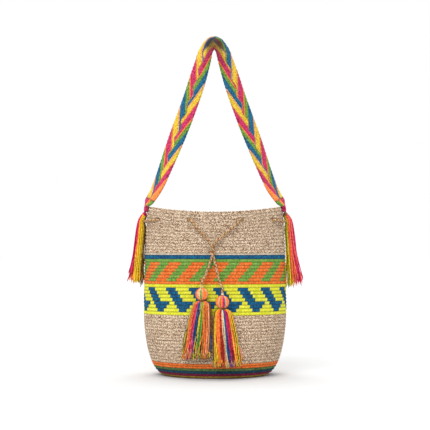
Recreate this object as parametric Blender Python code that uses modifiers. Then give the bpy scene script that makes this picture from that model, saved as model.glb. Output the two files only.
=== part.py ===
"""A crocheted bucket bag: round base, braided shoulder strap, laced drawstring with two tassels.

Metres, +Z up. The origin is the middle of the flat base. The front of the bag, where the
tassels hang, faces -Y, and the strap's ends are at -X and +X.
"""

from math import cos, pi, radians, sin, sqrt

import bmesh
import bpy
from mathutils import Vector

# Bag: one crocheted cloth, worked from the middle of the base up to the mouth.
MOUTH_HEIGHT = 0.292  # at the side folds, where the strap lifts the mouth
MOUTH_DIP = 0.011  # how much lower the mouth is at its front and back
FULL_HEIGHT = 0.120  # where the bag is widest
FULL_WIDTH = 0.1255  # half widths, along X
BASE_WIDTH = 0.080
MOUTH_NARROWING = 0.0065
CORNER_POWER = 0.38  # smaller is squarer at the lower edge
BASE_DEPTH = 0.066  # half depths, along Y
LOW_DEPTH = 0.0865
BAND_DEPTH = 0.0705
MOUTH_DEPTH = 0.062
WALL = 0.0035

# Drawstring, laced through eight eyelets below the mouth.
CORD_RADIUS = 0.0022
EYELET_HEIGHT = 0.269
EYELET_RADIUS = 0.0038
EYELET_TURNS = (22, 55, 125, 158, 202, 235, 305, 338)  # degrees round from the front's middle
EYELET_SLANT = radians(52)
CORD_CLEARANCE = 0.0006
SPAN_SLACK = 0.0005  # how far the cord stands off between eyelets
TWIST_PLACE = (-0.004, 0.2145)  # x and z of the middle of the turn that the two ends make
TWIST_LENGTH = 0.027
TWIST_RADIUS = 0.00255

# Strap: a flat braid that turns from edge-on at the mouth to half-facing the front.
STRAP_WIDTH = 0.046
STRAP_END_WIDTH = 0.034
STRAP_THICKNESS = 0.0048
STRAP_SIDE = 0.1223
STRAP_ROUTE = (  # x and z of its middle line, end to end
    (-STRAP_SIDE, 0.2845), (-STRAP_SIDE, 0.2920), (-0.1160, 0.3015), (-0.1025, 0.3240),
    (-0.0690, 0.4080), (-0.0385, 0.4905), (-0.0215, 0.5465), (-0.0155, 0.5670),
    (-0.0020, 0.5795),
    (0.0118, 0.5690), (0.0192, 0.5475), (0.0372, 0.4905), (0.0676, 0.4080),
    (0.1010, 0.3240), (0.1155, 0.3015), (STRAP_SIDE, 0.2920), (STRAP_SIDE, 0.2845),
)
STRAP_TURN_END = radians(6)  # angle between its width and the Y axis
STRAP_TURN_LOW = radians(26)  # just above the mouth
STRAP_TURN_FULL = radians(43)
STRAP_TURN_TOP = radians(20)

# Knots that tie the strap to the side folds, and the yarn that hangs from them.
KNOT_CENTRE = (0.1254, 0.0, 0.2792)
KNOT_SIZE = (0.0052, 0.0090, 0.0048)
FRINGE_STATIONS = (  # height, middle, half width and half depth of the hanging yarn
    (0.2738, 0.1292, 0.0034, 0.0070),
    (0.2670, 0.1322, 0.0060, 0.0095),
    (0.2550, 0.1348, 0.0086, 0.0120),
    (0.2350, 0.1365, 0.0108, 0.0140),
    (0.2100, 0.1376, 0.0124, 0.0150),
    (0.1850, 0.1390, 0.0128, 0.0155),
)
FRINGE_END = {"left": 0.163, "right": 0.160}

# Tassels: a ball and a skirt of the same folded yarn, tied at the neck.
NUB_RADIUS = 0.0026
BALL_DROP = 0.0020  # from the middle of the nub to the top of the ball
SKIRT_DEPTH = 0.0082
SKIRT_GAP = 0.0016  # between the skirt and the bag
BINDING_RADIUS = 0.0008
TASSELS = {  # hanging point x and z, ball, shoulder and end half widths, end shift and height
    "left": dict(x=-0.0222, z=0.1556, ball=0.0105, shoulder=0.0100, end=0.0262, shift=-0.0110, foot=0.035),
    "right": dict(x=0.0123, z=0.1430, ball=0.0110, shoulder=0.0105, end=0.0255, shift=0.0085, foot=0.022),
}

ROUND = 56  # facets round the bag
SIDES = {"left": -1, "right": 1}


def ease(value):
    """0 to 1 with level ends."""
    value = min(max(value, 0.0), 1.0)
    return value * value * (3 - 2 * value)


def corner(height, reach):
    """How far the rounded lower edge has opened at a height, from 0 to 1."""
    left = 1 - min(height, reach) / reach
    return max(1 - left * left, 0.0) ** CORNER_POWER


def half_width(height):
    narrowing = MOUTH_NARROWING * (max(height - FULL_HEIGHT, 0) / (MOUTH_HEIGHT - FULL_HEIGHT)) ** 2
    return BASE_WIDTH + (FULL_WIDTH - BASE_WIDTH) * corner(height, FULL_HEIGHT) - narrowing


def half_depth(height):
    low = BASE_DEPTH + (LOW_DEPTH - BASE_DEPTH) * corner(height, 0.05)
    to_bands = (LOW_DEPTH - BAND_DEPTH) * ease((height - 0.03) / 0.12)
    to_mouth = (BAND_DEPTH - MOUTH_DEPTH) * ease((height - 0.15) / (MOUTH_HEIGHT - 0.15))
    return low - to_bands - to_mouth


def dip(angle, height):
    """How far the cloth hangs down near the mouth, most at the front and back."""
    return MOUTH_DIP * sin(angle) ** 2 * ease((height - 0.200) / (MOUTH_HEIGHT - 0.200))


def wall_normal(angle, height):
    return Vector((half_depth(height) * cos(angle), half_width(height) * sin(angle), 0)).normalized()


def wall_point(angle, z, offset=0.0):
    """A point on the bag's outer face at a real height z, moved out by offset."""
    height = z + dip(angle, z)
    face = Vector((half_width(height) * cos(angle), half_depth(height) * sin(angle), z))
    return face + wall_normal(angle, height) * offset


def front_depth(x, z):
    """Y of the bag's front face at x and z."""
    return -half_depth(z) * sqrt(1 - (x / half_width(z)) ** 2)


def smooth_route(points, steps):
    """Reads a centripetal Catmull-Rom curve through the points, steps times in each stretch."""
    ends = [points[0] * 2 - points[1], *points, points[-1] * 2 - points[-2]]
    result = []
    for before, start, end, after in zip(ends, ends[1:], ends[2:], ends[3:]):
        knots = [0.0]
        for one, two in ((before, start), (start, end), (end, after)):
            knots.append(knots[-1] + sqrt((two - one).length))
        tangents = []
        for (p0, p1, p2), (t0, t1, t2) in (
            ((before, start, end), knots[:3]),
            ((start, end, after), knots[1:]),
        ):
            tangents.append((p1 - p0) / (t1 - t0) - (p2 - p0) / (t2 - t0) + (p2 - p1) / (t2 - t1))
        span = knots[2] - knots[1]
        for step in range(steps):
            t = step / steps
            result.append(
                start * (2 * t**3 - 3 * t**2 + 1)
                + tangents[0] * span * (t**3 - 2 * t**2 + t)
                + end * (3 * t**2 - 2 * t**3)
                + tangents[1] * span * (t**3 - t**2)
            )
    return result + [points[-1]]


def clear_scene():
    for thing in list(bpy.data.objects):
        bpy.data.objects.remove(thing, do_unlink=True)


def new_collection(name):
    collection = bpy.data.collections.new(name)
    bpy.context.scene.collection.children.link(collection)
    return collection


def yarn_material(name, colour, roughness=0.85):
    material = bpy.data.materials.new(name)
    material.use_nodes = True
    shader = material.node_tree.nodes["Principled BSDF"]
    shader.inputs["Base Color"].default_value = (*colour, 1)
    shader.inputs["Roughness"].default_value = roughness
    shader.inputs["Metallic"].default_value = 0.0
    return material


def place(thing, collection, material=None):
    """Moves an object to its collection, and gives it its material and smooth shading."""
    for old in thing.users_collection:
        old.objects.unlink(thing)
    collection.objects.link(thing)
    if material:
        thing.data.materials.clear()
        thing.data.materials.append(material)
    if thing.type == "MESH":
        thing.data.shade_smooth()
        thing.data.set_sharp_from_angle(angle=radians(40))
    return thing


def mesh_object(name, build):
    """A new mesh object whose faces come from build(bm)."""
    mesh = bpy.data.meshes.new(name)
    bm = bmesh.new()
    build(bm)
    bm.to_mesh(mesh)
    bm.free()
    return bpy.data.objects.new(name, mesh)


def ellipse(centre, half_x, half_y, count, z_at=None):
    """Points round an ellipse, counterclockwise from +X, seen from above."""
    points = []
    for index in range(count):
        angle = 2 * pi * index / count
        z = z_at(angle) if z_at else 0.0
        points.append(centre + Vector((half_x * cos(angle), half_y * sin(angle), z)))
    return points


def loft(bm, rings, close_top=True):
    """Skins rings of equal count, listed upwards, with a flat cap below and perhaps above."""
    rows = [[bm.verts.new(point) for point in ring] for ring in rings]
    for below, above in zip(rows, rows[1:]):
        for index in range(len(below)):
            following = (index + 1) % len(below)
            bm.faces.new((below[index], below[following], above[following], above[index]))
    bm.faces.new(rows[0][::-1])
    if close_top:
        bm.faces.new(rows[-1])


def bag_rings(count=20, gather=1.7):
    """Rings of the outer face, closer together at the rounded lower edge."""
    rings = []
    for index in range(count + 1):
        height = MOUTH_HEIGHT * (index / count) ** gather
        centre = Vector((0, 0, height))
        rings.append(
            ellipse(centre, half_width(height), half_depth(height), ROUND, lambda a: -dip(a, height))
        )
    return rings


def eyelets():
    """Each eyelet's angle round the bag, and +1 where the cord goes in or -1 where it comes out."""
    for number, turn in enumerate(EYELET_TURNS):
        yield radians(-90 - turn), 1 if number % 2 == 0 else -1


def along_wall(angle):
    """Direction of the lacing, clockwise seen from above, as a unit vector."""
    normal = wall_normal(angle, EYELET_HEIGHT)
    return Vector((normal.y, -normal.x, 0))


def add_eyelet_cutters(collection):
    for number, (angle, inward) in enumerate(eyelets()):
        outward = wall_normal(angle, EYELET_HEIGHT)
        direction = along_wall(angle) * cos(EYELET_SLANT) - outward * sin(EYELET_SLANT) * inward
        bpy.ops.mesh.primitive_cylinder_add(
            vertices=12,
            radius=EYELET_RADIUS,
            depth=0.024,
            location=wall_point(angle, EYELET_HEIGHT, -WALL / 2),
            rotation=direction.to_track_quat("Z", "Y").to_euler(),
        )
        cutter = place(bpy.context.object, collection)
        cutter.name = f"eyelet_cutter_{number}"
        cutter.hide_render = True
        cutter.display_type = "WIRE"


def add_bag_body(collection, cutters):
    """The whole crocheted bag: an open shell with its eyelets."""
    body = mesh_object("bag_body", lambda bm: loft(bm, bag_rings(), close_top=False))
    place(body, collection, yarn_material("crocheted_cotton", (0.55, 0.42, 0.29)))
    shell = body.modifiers.new("cloth thickness", "SOLIDIFY")
    shell.thickness = WALL
    shell.offset = -1
    holes = body.modifiers.new("eyelets", "BOOLEAN")
    holes.operation = "DIFFERENCE"
    holes.operand_type = "COLLECTION"
    holes.collection = cutters
    return body


def strap_stations():
    """Middle line, sideways direction and half width of the strap, end to end."""
    points = smooth_route([Vector((x, 0, z)) for x, z in STRAP_ROUTE], 6)
    lengths = [0.0]
    for one, two in zip(points, points[1:]):
        lengths.append(lengths[-1] + (two - one).length)
    for index, point in enumerate(points):
        before = points[max(index - 1, 0)]
        after = points[min(index + 1, len(points) - 1)]
        tangent = (after - before).normalized()
        inward = Vector((tangent.z, 0, -tangent.x))  # towards the inside of the strap's loop
        from_end = min(lengths[index], lengths[-1] - lengths[index])
        from_top = abs(lengths[-1] / 2 - lengths[index])
        turn = STRAP_TURN_END + (STRAP_TURN_LOW - STRAP_TURN_END) * ease((from_end - 0.007) / 0.014)
        turn += (STRAP_TURN_FULL - STRAP_TURN_LOW) * ease((from_end - 0.020) / 0.150)
        turn = STRAP_TURN_TOP + (turn - STRAP_TURN_TOP) * ease((from_top + 0.015) / 0.100)
        sideways = inward * sin(turn) + Vector((0, -cos(turn), 0))
        width = STRAP_END_WIDTH + (STRAP_WIDTH - STRAP_END_WIDTH) * ease(from_end / 0.060)
        yield point, sideways, width / 2


def add_strap(collection):
    """One flat braid from side fold to side fold."""
    stations = list(strap_stations())
    across = 4

    def build(bm):
        bmesh.ops.create_grid(bm, x_segments=across, y_segments=len(stations) - 1, size=1.0)
        for vertex in bm.verts:
            row = round((vertex.co.y + 1) / 2 * (len(stations) - 1))
            point, sideways, half = stations[row]
            vertex.co = point + sideways * half * vertex.co.x

    strap = place(mesh_object("strap", build), collection, yarn_material("braided_cotton", (0.75, 0.33, 0.17)))
    slab = strap.modifiers.new("braid thickness", "SOLIDIFY")
    slab.thickness = STRAP_THICKNESS
    slab.offset = 0
    return strap


def add_strap_ends(collection):
    """A knot and a fringe at each side fold."""
    for side, sign in SIDES.items():
        x, y, z = KNOT_CENTRE
        bpy.ops.mesh.primitive_uv_sphere_add(segments=16, ring_count=10, radius=1, location=(x * sign, y, z))
        knot = bpy.context.object
        knot.name = f"strap_knot_{side}"
        knot.scale = KNOT_SIZE
        bpy.ops.object.transform_apply(location=False, rotation=False, scale=True)
        place(knot, collection, yarn_material(f"knotted_cotton_{side}", (0.62, 0.20, 0.16)))

        stations = list(FRINGE_STATIONS)
        stations.append((FRINGE_END[side], *FRINGE_STATIONS[-1][1:]))
        rings = [
            ellipse(Vector((middle * sign, 0, height)), half_x, half_y, 20)
            for height, middle, half_x, half_y in reversed(stations)
        ]
        fringe = mesh_object(f"strap_fringe_{side}", lambda bm: loft(bm, rings))
        place(fringe, collection, yarn_material(f"loose_cotton_{side}", (0.83, 0.42, 0.14)))


def tassel_rings(spec, drop_y):
    """Rings of one tassel round its hanging point, listed upwards."""
    ball_middle = BALL_DROP + spec["ball"]
    rings = []
    for degrees in (20, 50, 80, 110, 130):
        polar = radians(degrees)
        rings.append((NUB_RADIUS * cos(polar), 0.0, 0.0, NUB_RADIUS * sin(polar), NUB_RADIUS * sin(polar)))
    for degrees in (15, 33, 52, 71, 90, 109, 128, 142, 152):
        polar = radians(degrees)
        radius = spec["ball"] * sin(polar)
        rings.append((spec["ball"] * cos(polar) - ball_middle, 0.0, 0.0, radius, radius))
    neck_z, neck = rings[-1][0], rings[-1][3]
    rings.append((neck_z - 0.0026, 0.0, 0.0, neck, neck))
    top = neck_z - 0.0042
    foot = spec["foot"] - spec["z"]
    for step in range(9):
        t = step / 8
        z = top + (foot - top) * t
        half_x = spec["shoulder"] + (spec["end"] - spec["shoulder"]) * sqrt(t)
        rings.append((z, spec["shift"] * t, drop_y(z) * ease(t / 0.35), half_x, SKIRT_DEPTH))
    return [ellipse(Vector((x, y, z)), rx, ry, 20) for z, x, y, rx, ry in reversed(rings)], neck_z, neck


def add_tassels(collection):
    """Both tassels, each with its neck binding, on an empty at its hanging point."""
    for side, spec in TASSELS.items():
        ball_z = spec["z"] - BALL_DROP - spec["ball"]
        hang_y = front_depth(spec["x"], ball_z) - SKIRT_GAP - spec["ball"]
        pivot = bpy.data.objects.new(f"tassel_{side}_pivot", None)
        pivot.location = (spec["x"], hang_y, spec["z"])
        collection.objects.link(pivot)

        def drop_y(z):
            """How far the skirt stands forward of the hanging point to clear the bag."""
            x = spec["x"] + spec["shift"] / 2
            return min(front_depth(x, spec["z"] + z) - SKIRT_GAP - SKIRT_DEPTH - hang_y, 0.0)

        rings, neck_z, neck = tassel_rings(spec, drop_y)
        tassel = mesh_object(f"tassel_{side}", lambda bm: loft(bm, rings))
        place(tassel, collection, yarn_material(f"tassel_cotton_{side}", (0.80, 0.36, 0.16)))
        tassel.parent = pivot
        bpy.ops.mesh.primitive_torus_add(
            location=(0, 0, neck_z - 0.0013),
            major_segments=24,
            minor_segments=8,
            major_radius=neck + BINDING_RADIUS + 0.0003,
            minor_radius=BINDING_RADIUS,
        )
        binding = place(bpy.context.object, collection, yarn_material(f"binding_thread_{side}", (0.30, 0.10, 0.06)))
        binding.name = f"tassel_{side}_binding"
        binding.parent = pivot


def twist_points(first_angle):
    """One end's full turn round the other, listed downwards."""
    x, z = TWIST_PLACE
    axis_y = front_depth(x, z) - CORD_CLEARANCE - CORD_RADIUS - TWIST_RADIUS
    points = []
    for step in range(9):
        angle = first_angle + 2 * pi * step / 8
        height = z + TWIST_LENGTH * (0.5 - step / 8)
        points.append(Vector((x + TWIST_RADIUS * cos(angle), axis_y + TWIST_RADIUS * sin(angle), height)))
    return points


def hanging_end(side):
    """The cord from its tassel up to the eyelet nearest the front's middle."""
    spec, sign = TASSELS[side], SIDES[side]
    ball_z = spec["z"] - BALL_DROP - spec["ball"]
    hang_y = front_depth(spec["x"], ball_z) - SKIRT_GAP - spec["ball"]
    foot = Vector((spec["x"], hang_y, spec["z"] + NUB_RADIUS + 0.0003))
    turn = twist_points(pi if side == "left" else 0.0)
    outside = -(CORD_CLEARANCE + CORD_RADIUS)
    low, high = turn[-1], turn[0]
    end = wall_point(radians(-90 + sign * 17), 0.2615, SPAN_SLACK * 2.5 - outside)
    up = [foot, foot + Vector((0, 0.0002, 0.006)), (foot * 2 + low) / 3 + Vector((0, 0.001, 0)), (foot + low * 2) / 3]
    x = high.x * 0.5 + end.x * 0.5
    z = high.z * 0.5 + end.z * 0.5
    return [*up, *reversed(turn), Vector((x, front_depth(x, z) + outside - 0.0006, z)), end]


def eyelet_points(angle, inward):
    """The cord's bend through one eyelet, from one face of the cloth to the other."""
    outside = CORD_RADIUS + CORD_CLEARANCE
    inside = -(WALL + CORD_RADIUS + CORD_CLEARANCE)
    speed = sqrt((half_width(EYELET_HEIGHT) * sin(angle)) ** 2 + (half_depth(EYELET_HEIGHT) * cos(angle)) ** 2)
    points = []
    for along, through in ((-0.0079, 0.0), (-0.0034, 0.13), (0.0, 0.5), (0.0034, 0.87), (0.0079, 1.0)):
        share = through if inward > 0 else 1 - through
        points.append(wall_point(angle - along / speed, EYELET_HEIGHT, outside + (inside - outside) * share))
    return points


def drawstring_route():
    """The whole cord: left tassel, round the bag through its eyelets, right tassel."""
    route = hanging_end("left")
    stops = list(eyelets())
    for number, (angle, inward) in enumerate(stops):
        points = eyelet_points(angle, inward)
        if number == 0:
            points = points[1:]
        if number == len(stops) - 1:
            points = points[:-1]
        route += points
        if number < len(stops) - 1:
            gap = stops[number + 1][0] - angle
            reach = CORD_RADIUS + CORD_CLEARANCE
            offset = -(WALL + reach) if inward > 0 else reach + SPAN_SLACK
            for share in ((0.5,) if inward > 0 else (0.23, 0.41, 0.59, 0.77)):
                route.append(wall_point(angle + gap * share, EYELET_HEIGHT - 0.0012, offset))
    return route + hanging_end("right")[::-1]


def add_drawstring(collection):
    points = smooth_route(drawstring_route(), 1)
    curve = bpy.data.curves.new("drawstring", "CURVE")
    curve.dimensions = "3D"
    curve.bevel_depth = CORD_RADIUS
    curve.bevel_resolution = 2
    curve.use_fill_caps = True
    line = curve.splines.new("POLY")
    line.points.add(len(points) - 1)
    for slot, point in zip(line.points, points):
        slot.co = (*point, 1)
    cord = bpy.data.objects.new("drawstring", curve)
    place(cord, collection, yarn_material("braided_cord", (0.50, 0.36, 0.22)))
    print("drawstring points", len(points), "length", sum((b - a).length for a, b in zip(points, points[1:])))


def build():
    clear_scene()
    bag = new_collection("crocheted_bucket_bag")
    cutters = new_collection("cutters")
    add_eyelet_cutters(cutters)
    add_bag_body(bag, cutters)
    add_strap(bag)
    add_strap_ends(bag)
    add_tassels(bag)
    add_drawstring(bag)


build()
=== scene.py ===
# %% [markdown]
# # A crocheted bucket bag with a braided strap
# The real bag is one cloth of single crochet, worked round and round from the middle of its base.
# Its strap is braided by hand from the same cotton, a thin cord laces the mouth, and two tassels
# hang from the cord. This file builds every stitch and yarn as mesh, because at this scale
# crochet is a relief, not a flat print.

from math import pi, radians, sin, sqrt

import bpy
import numpy as np
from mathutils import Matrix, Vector


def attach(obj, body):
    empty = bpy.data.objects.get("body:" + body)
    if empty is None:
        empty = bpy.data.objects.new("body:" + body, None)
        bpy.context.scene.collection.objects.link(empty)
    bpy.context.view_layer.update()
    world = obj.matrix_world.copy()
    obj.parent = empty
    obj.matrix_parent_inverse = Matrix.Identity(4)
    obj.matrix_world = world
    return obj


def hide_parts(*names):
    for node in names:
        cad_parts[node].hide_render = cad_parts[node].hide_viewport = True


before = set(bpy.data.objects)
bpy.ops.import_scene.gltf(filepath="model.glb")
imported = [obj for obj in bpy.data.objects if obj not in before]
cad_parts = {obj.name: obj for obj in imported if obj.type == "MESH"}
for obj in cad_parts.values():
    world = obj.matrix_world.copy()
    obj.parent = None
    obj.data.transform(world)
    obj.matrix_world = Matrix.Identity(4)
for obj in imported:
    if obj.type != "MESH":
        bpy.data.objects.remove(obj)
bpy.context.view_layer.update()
chance = np.random.default_rng(126)

# %% [markdown]
# ## Camera
# A long lens two metres away keeps the bag's sides nearly parallel. The camera looks level from
# the height of the bands, and a small upward shift brings the top of the strap into the picture.

# %% Camera
CAMERA_DISTANCE = 1.925
CAMERA_HEIGHT = 0.2075
camera = bpy.data.objects.new("camera", bpy.data.cameras.new("camera"))
bpy.context.scene.collection.objects.link(camera)
bpy.context.scene.camera = camera
camera.location = (0.0, -CAMERA_DISTANCE, CAMERA_HEIGHT)
camera.rotation_euler = (pi / 2, 0, 0)
camera.data.lens = 92.1
camera.data.sensor_width = 36
camera.data.shift_y = 0.095
print("camera at", tuple(camera.location))

# %% [markdown]
# ## Cotton
# Every part is mercerised or plain cotton yarn: a plied thread of fine fibres, so it is matt with
# a faint sheen at grazing angles, and its colour is mottled because the dye takes unevenly. A
# noise about as wide as a yarn does the mottling, a finer one raises the fibres, and the mesh
# carries a value of how deep a point lies between yarns, by which the colour gets painted shade.

# %% Colours and nodes
def linear(hex_colour):
    """An sRGB colour such as #c3a78c as linear red, green, blue and alpha."""
    channels = [int(hex_colour[start : start + 2], 16) / 255 for start in (1, 3, 5)]
    return (*[c / 12.92 if c <= 0.04045 else ((c + 0.055) / 1.055) ** 2.4 for c in channels], 1.0)


def add_node(tree, kind, values=None, links=None, **settings):
    """Adds a node, fills its sockets with values and joins them to other nodes' outputs."""
    node = tree.nodes.new(kind)
    for name, value in settings.items():
        setattr(node, name, value)
    for socket, value in (values or {}).items():
        node.inputs[socket].default_value = value
    for socket, output in (links or {}).items():
        tree.links.new(output, node.inputs[socket])
    return node


def fill_ramp(ramp, stops):
    """Gives a colour ramp its stops, as pairs of position and colour."""
    while len(ramp.elements) < len(stops):
        ramp.elements.new(1.0)
    for element, (position, colour) in zip(ramp.elements, stops):
        element.position = position
        element.color = linear(colour)


MM = 0.001
FIBRE, FIBRE_DEPTH = 0.45 * MM, 0.12 * MM  # width and relief of the spun fibres
HOLLOW_COLOUR = "#271912"  # what little light comes back from between the yarns


def finish_cotton(tree, colour, shade):
    """Paints shade where the yarns are sunk, raises the fibres and gives the shader cotton's soft sheen."""
    shader = tree.nodes["Principled BSDF"]
    place = add_node(tree, "ShaderNodeTexCoord").outputs["Object"]
    hollow = add_node(tree, "ShaderNodeAttribute", attribute_name="hollow")
    amount = add_node(tree, "ShaderNodeMath", {1: shade}, {0: hollow.outputs["Fac"]}, operation="MULTIPLY")
    # painted shade: the colour is mixed towards HOLLOW_COLOUR as far as the point lies between yarns; a mix of
    # colours takes them on its sockets 6 and 7
    dark = add_node(
        tree, "ShaderNodeMix", {7: linear(HOLLOW_COLOUR)}, {0: amount.outputs[0], 6: colour}, data_type="RGBA",
    )
    fibres = add_node(tree, "ShaderNodeTexNoise", {"Scale": 1 / FIBRE, "Detail": 2.0}, {"Vector": place})
    relief = add_node(
        tree, "ShaderNodeBump", {"Strength": 0.6, "Distance": FIBRE_DEPTH}, {"Height": fibres.outputs["Fac"]},
    )
    tree.links.new(dark.outputs[2], shader.inputs["Base Color"])
    tree.links.new(relief.outputs["Normal"], shader.inputs["Normal"])
    shader.inputs["Roughness"].default_value = 0.82
    shader.inputs["Specular IOR Level"].default_value = 0.12
    shader.inputs["Sheen Weight"].default_value = 0.04
    shader.inputs["Sheen Roughness"].default_value = 0.5


def cotton(name, deep, middle, pale, fleck, spread, shade, flatness):
    """Cotton yarn whose colour wanders from deep to pale in flecks of a given width and flatness."""
    material = bpy.data.materials.new(name)
    material.use_nodes = True
    tree = material.node_tree
    place = add_node(tree, "ShaderNodeTexCoord").outputs["Object"]
    flat = add_node(tree, "ShaderNodeVectorMath", {1: (1, 1, flatness)}, {0: place}, operation="MULTIPLY")
    noise = add_node(tree, "ShaderNodeTexNoise", {"Scale": 1 / fleck, "Detail": 2.5}, {"Vector": flat.outputs[0]})
    ramp = add_node(tree, "ShaderNodeValToRGB", links={"Fac": noise.outputs["Fac"]})
    fill_ramp(ramp.color_ramp, ((0.5 - spread, deep), (0.5, middle), (0.5 + spread, pale)))
    finish_cotton(tree, ramp.outputs["Color"], shade)
    return material


YARNS = {  # deep, middle and pale of each dyed yarn
    "tan": ("#80604a", "#caa888", "#fdeace"),
    "ivory": ("#c0b094", "#e2d4bc", "#f6ecd8"),
    "blue": ("#023c62", "#045c88", "#107aa2"),
    "green": ("#558a30", "#76aa46", "#94be60"),
    "orange": ("#e05c1a", "#fc7c32", "#ff9c50"),
    "yellow": ("#dcdc20", "#f2f236", "#fafa70"),
    "teal": ("#0a3046", "#10465e", "#26647c"),
    "moss": ("#3c5a2c", "#587a44", "#7a9a5c"),
    "purple": ("#620e34", "#8a1844", "#a8325a"),
    "olive": ("#5e4c14", "#8a7026", "#ae9446"),
    "ochre": ("#94701e", "#bc963a", "#d4b258"),
    "magenta": ("#9c1440", "#c81e58", "#e04078"),
    "coral": ("#c44a30", "#e26844", "#f28a64"),
    "gold": ("#c89410", "#e8c028", "#f4da4c"),
    "leaf": ("#40701c", "#64942e", "#86b04c"),
    "sea": ("#083c5c", "#0e5880", "#2478a0"),
    "peach": ("#cc7c50", "#e49a72", "#f4ba96"),
    "cream": ("#b09464", "#d8c094", "#f0e0bc"),
    "brown": ("#4e2a10", "#784a20", "#a0723a"),
    "red": ("#7c1614", "#b02a22", "#cc4836"),
    "indigo": ("#221c50", "#3c3474", "#5a5494"),
}
# shade is how dark the painted shade between the yarns makes each yarn
DYED = dict(fleck=3.0 * MM, spread=0.2, shade=0.7, flatness=1.0)
MELANGE = dict(fleck=1.8 * MM, spread=0.085, shade=0.56, flatness=1.35)  # brown and white fibres spun together
cottons = {
    label: cotton(f"{label}_cotton_yarn", *shades, **(MELANGE if label == "tan" else DYED))
    for label, shades in YARNS.items()
}
print("yarns", len(cottons))

# %% [markdown]
# ## Meshes
# Two shapes make the whole bag: a grid of points pulled into relief, and many round yarns at
# once. Both are worked out as arrays of points, then turned to meshes in one go.

# %% Mesh helpers
def new_piece(name, points, faces, kinds, materials, **marks):
    """A smooth mesh object whose faces take their material by number, with values kept on its points."""
    mesh = bpy.data.meshes.new(name)
    mesh.from_pydata(points.tolist(), [], faces)
    for material in materials:
        mesh.materials.append(material)
    mesh.polygons.foreach_set("material_index", np.asarray(kinds, dtype=np.int32))
    for label, values in marks.items():
        mark = mesh.attributes.new(label, "FLOAT", "POINT")
        mark.data.foreach_set("value", np.asarray(values, dtype=np.float32).ravel())
    mesh.shade_smooth()
    mesh.update()
    piece = bpy.data.objects.new(name, mesh)
    bpy.context.scene.collection.objects.link(piece)
    return piece


def hand_over(piece, body, node):
    """Says which body a piece moves with and which solid it stands for, and hides that solid."""
    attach(piece, body)
    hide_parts(node)
    print(piece.name, len(piece.data.polygons), "faces")


def unit(vectors):
    """The same directions, each one long."""
    return vectors / np.maximum(np.linalg.norm(vectors, axis=-1, keepdims=True), 1e-12)


def tubes(paths, radii, reference, sides=5):
    """Points and faces of round yarns with closed ends, and each face's yarn number.

    paths holds yarns x points x 3, radii holds yarns x points, and reference is a direction
    that no yarn runs along.
    """
    paths = np.asarray(paths)
    along = unit(np.gradient(paths, axis=1))
    side = unit(np.cross(along, reference))
    up = np.cross(side, along)
    turn = 2 * pi * np.arange(sides) / sides
    ring = side[:, :, None] * np.cos(turn)[:, None] + up[:, :, None] * np.sin(turn)[:, None]
    points = paths[:, :, None] + np.asarray(radii)[..., None, None] * ring
    index = np.arange(paths.shape[0] * paths.shape[1] * sides).reshape(*paths.shape[:2], sides)
    following = np.roll(index, -1, axis=2)
    quads = np.stack((index[:, :-1], index[:, 1:], following[:, 1:], following[:, :-1]), -1)
    faces = quads.reshape(-1, 4).tolist() + index[:, 0].tolist() + index[:, -1, ::-1].tolist()
    number = np.arange(len(paths))
    owner = np.concatenate((np.repeat(number, quads.shape[1] * sides), number, number))
    return points.reshape(-1, 3), faces, owner


def yarn_piece(name, bundles, body, node):
    """One piece from bundles of yarns, each (paths, radii, reference, names of their cottons)."""
    points, faces, kinds, names = [], [], [], sorted({n for bundle in bundles for n in bundle[3]})
    start = 0
    for paths, radii, reference, dyes in bundles:
        more, quads, owner = tubes(paths, radii, reference)
        dye = np.array([names.index(d) for d in dyes])
        points.append(more)
        faces += [[corner + start for corner in face] for face in quads]
        kinds.append(dye[owner])
        start += len(more)
    piece = new_piece(name, np.concatenate(points), faces, np.concatenate(kinds), [cottons[n] for n in names])
    hand_over(piece, body, node)


# %% [markdown]
# ## Shape of the bag
# Filled, the bag is an oval bucket: its round base curves up into full sides, and the mouth dips
# at the front and back because the strap lifts it at the side folds.

# %% Bag outline
MOUTH_HEIGHT, MOUTH_DIP = 0.292, 0.011
FULL_HEIGHT, FULL_WIDTH, BASE_WIDTH, MOUTH_NARROWING = 0.120, 0.1255, 0.080, 0.0065
CORNER_POWER = 0.38  # smaller is squarer at the lower edge
BASE_DEPTH, LOW_DEPTH, BAND_DEPTH, MOUTH_DEPTH = 0.066, 0.0865, 0.0705, 0.062
WALL = 0.0035


def ease(value):
    """0 to 1 with level ends."""
    value = np.clip(value, 0.0, 1.0)
    return value * value * (3 - 2 * value)


def corner(height, reach):
    """How far the rounded lower edge has opened at a height, from 0 to 1."""
    left = 1 - np.minimum(height, reach) / reach
    return np.maximum(1 - left * left, 0.0) ** CORNER_POWER


def half_width(height):
    """From the middle of the bag to its side fold."""
    narrowing = MOUTH_NARROWING * (np.maximum(height - FULL_HEIGHT, 0) / (MOUTH_HEIGHT - FULL_HEIGHT)) ** 2
    return BASE_WIDTH + (FULL_WIDTH - BASE_WIDTH) * corner(height, FULL_HEIGHT) - narrowing


def half_depth(height):
    """From the middle of the bag to its front or back."""
    low = BASE_DEPTH + (LOW_DEPTH - BASE_DEPTH) * corner(height, 0.05)
    to_bands = (LOW_DEPTH - BAND_DEPTH) * ease((height - 0.03) / 0.12)
    to_mouth = (BAND_DEPTH - MOUTH_DEPTH) * ease((height - 0.15) / (MOUTH_HEIGHT - 0.15))
    return low - to_bands - to_mouth


def dip(angle, height):
    """How far the cloth hangs down near the mouth, most at the front and back."""
    return MOUTH_DIP * np.sin(angle) ** 2 * ease((height - 0.200) / (MOUTH_HEIGHT - 0.200))


def wall_point(angle, z, offset=0.0):
    """A point on the bag's outer face at a real height z, moved out by offset."""
    height = z + dip(angle, z)
    wide, deep = half_width(height), half_depth(height)
    normal = Vector((deep * np.cos(angle), wide * np.sin(angle), 0)).normalized()
    return Vector((wide * np.cos(angle), deep * np.sin(angle), z)) + normal * offset


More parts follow.
